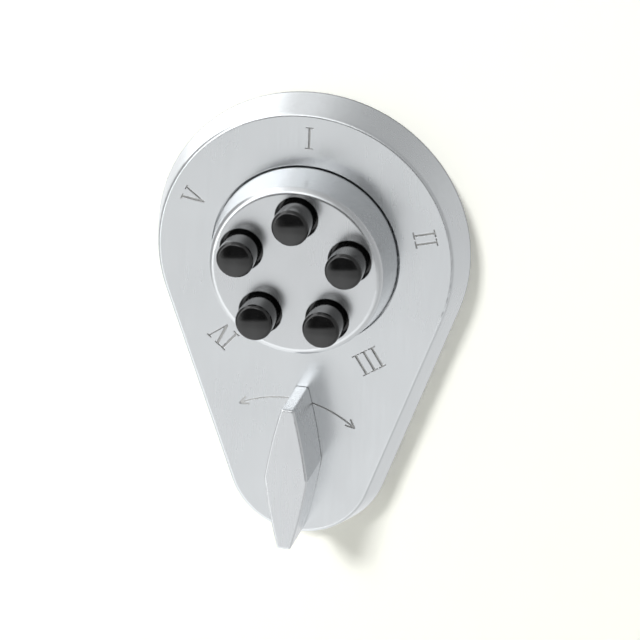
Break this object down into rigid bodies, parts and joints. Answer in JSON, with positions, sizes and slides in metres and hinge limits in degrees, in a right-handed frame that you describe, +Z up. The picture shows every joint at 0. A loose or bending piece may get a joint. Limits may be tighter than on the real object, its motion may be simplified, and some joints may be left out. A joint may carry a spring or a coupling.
{
  "type": "push-button deadbolt outside unit",
  "caption": "Outside unit of a push-button deadbolt: teardrop plate, raised round housing with push buttons, pointed thumb turn, coded chamber and tailpiece.",
  "frame": {"origin": "on the axis of the button housing, in the door surface that the unit is fixed to", "axes": "+X to the right as seen from the front, +Y into the door, +Z up"},
  "size_m": [0.0772, 0.0661, 0.1128],
  "materials": {
    "plate_satin": "satin chrome, faint vertical brushing",
    "housing_satin": "satin chrome, turned edge",
    "turn_satin": "satin chrome casting",
    "button_black": "glossy moulded black",
    "plated_steel": "zinc plated sheet",
    "screw_steel": "bright zinc plated",
    "spring_steel": "drawn spring wire",
    "bronze": "machined"
  },
  "bodies": {
    "unit": {"front_plate": "plate_satin", "back_plate": "plated_steel", "button_housing": "housing_satin", "guide_plate": "plated_steel", "chamber_case": "plated_steel", "chamber_screws": "screw_steel", "back_plate_screws": "screw_steel", "wheel_shaft": "screw_steel", "turn_bush": "bronze", "guide_rivets": "screw_steel", "centring_spring_upper": "spring_steel", "centring_spring_lower": "spring_steel", "button_spring_1": "spring_steel", "button_spring_2": "spring_steel", "button_spring_3": "spring_steel", "button_spring_4": "spring_steel", "button_spring_5": "spring_steel"},
    "button_body_1": {"button_1": "button_black", "key_1": "plated_steel"},
    "wheel_body_1": {"code_wheel_1": "bronze"},
    "button_body_2": {"button_2": "button_black", "key_2": "plated_steel"},
    "wheel_body_2": {"code_wheel_2": "bronze"},
    "button_body_3": {"button_3": "button_black", "key_3": "plated_steel"},
    "wheel_body_3": {"code_wheel_3": "bronze"},
    "button_body_4": {"button_4": "button_black", "key_4": "plated_steel"},
    "wheel_body_4": {"code_wheel_4": "bronze"},
    "button_body_5": {"button_5": "button_black", "key_5": "plated_steel"},
    "wheel_body_5": {"code_wheel_5": "bronze"},
    "slide_body": {"control_slide": "plated_steel", "locking_comb": "plated_steel", "comb_rivets": "screw_steel"},
    "turn_body": {"thumb_turn": "turn_satin", "drive_pinion": "bronze", "retaining_clip": "spring_steel", "tailpiece": "plated_steel", "tailpiece_pin": "screw_steel"}
  },
  "joints": [
    {"name": "button_1_press", "type": "slide", "parent": "unit", "child": "button_body_1", "axis": [0, 1, 0], "range_m": [0, 0.003], "stiffness_N_per_m": 600, "springref_m": -0.003, "deforming": ["button_spring_1"]},
    {"name": "wheel_1_turn", "type": "hinge", "parent": "unit", "child": "wheel_body_1", "pos_m": [0, 0.0035, 0], "axis": [1, 0, 0], "range_deg": [-43.5, 0]},
    {"name": "button_2_press", "type": "slide", "parent": "unit", "child": "button_body_2", "axis": [0, 1, 0], "range_m": [0, 0.003], "stiffness_N_per_m": 600, "springref_m": -0.003, "deforming": ["button_spring_2"]},
    {"name": "wheel_2_turn", "type": "hinge", "parent": "unit", "child": "wheel_body_2", "pos_m": [0.01332, 0.0035, 0], "axis": [1, 0, 0], "range_deg": [-43.5, 0]},
    {"name": "button_3_press", "type": "slide", "parent": "unit", "child": "button_body_3", "axis": [0, 1, 0], "range_m": [0, 0.003], "stiffness_N_per_m": 600, "springref_m": -0.003, "deforming": ["button_spring_3"]},
    {"name": "wheel_3_turn", "type": "hinge", "parent": "unit", "child": "wheel_body_3", "pos_m": [0.00823, 0.0035, 0], "axis": [1, 0, 0], "range_deg": [-43.5, 0]},
    {"name": "button_4_press", "type": "slide", "parent": "unit", "child": "button_body_4", "axis": [0, 1, 0], "range_m": [0, 0.003], "stiffness_N_per_m": 600, "springref_m": -0.003, "deforming": ["button_spring_4"]},
    {"name": "wheel_4_turn", "type": "hinge", "parent": "unit", "child": "wheel_body_4", "pos_m": [-0.00823, 0.0035, 0], "axis": [1, 0, 0], "range_deg": [-43.5, 0]},
    {"name": "button_5_press", "type": "slide", "parent": "unit", "child": "button_body_5", "axis": [0, 1, 0], "range_m": [0, 0.003], "stiffness_N_per_m": 600, "springref_m": -0.003, "deforming": ["button_spring_5"]},
    {"name": "wheel_5_turn", "type": "hinge", "parent": "unit", "child": "wheel_body_5", "pos_m": [-0.01332, 0.0035, 0], "axis": [1, 0, 0], "range_deg": [-43.5, 0]},
    {"name": "thumb_turn_swing", "type": "hinge", "parent": "unit", "child": "turn_body", "pos_m": [0, 0, -0.0523], "axis": [0, 1, 0], "range_deg": [-50, 50], "stiffness_Nm_per_rad": 0.048},
    {"name": "slide_shift", "type": "slide", "parent": "unit", "child": "slide_body", "axis": [0, 0, 1], "range_m": [-0.0036, 0.0036], "deforming": ["centring_spring_upper", "centring_spring_lower"]}
  ],
  "couplings": [
    {"joint": "wheel_1_turn", "follows": "button_1_press", "rad_per_m": -250},
    {"joint": "wheel_2_turn", "follows": "button_2_press", "rad_per_m": -250},
    {"joint": "wheel_3_turn", "follows": "button_3_press", "rad_per_m": -250},
    {"joint": "wheel_4_turn", "follows": "button_4_press", "rad_per_m": -250},
    {"joint": "wheel_5_turn", "follows": "button_5_press", "rad_per_m": -250},
    {"joint": "slide_shift", "follows": "thumb_turn_swing", "m_per_rad": 0.004}
  ]
}
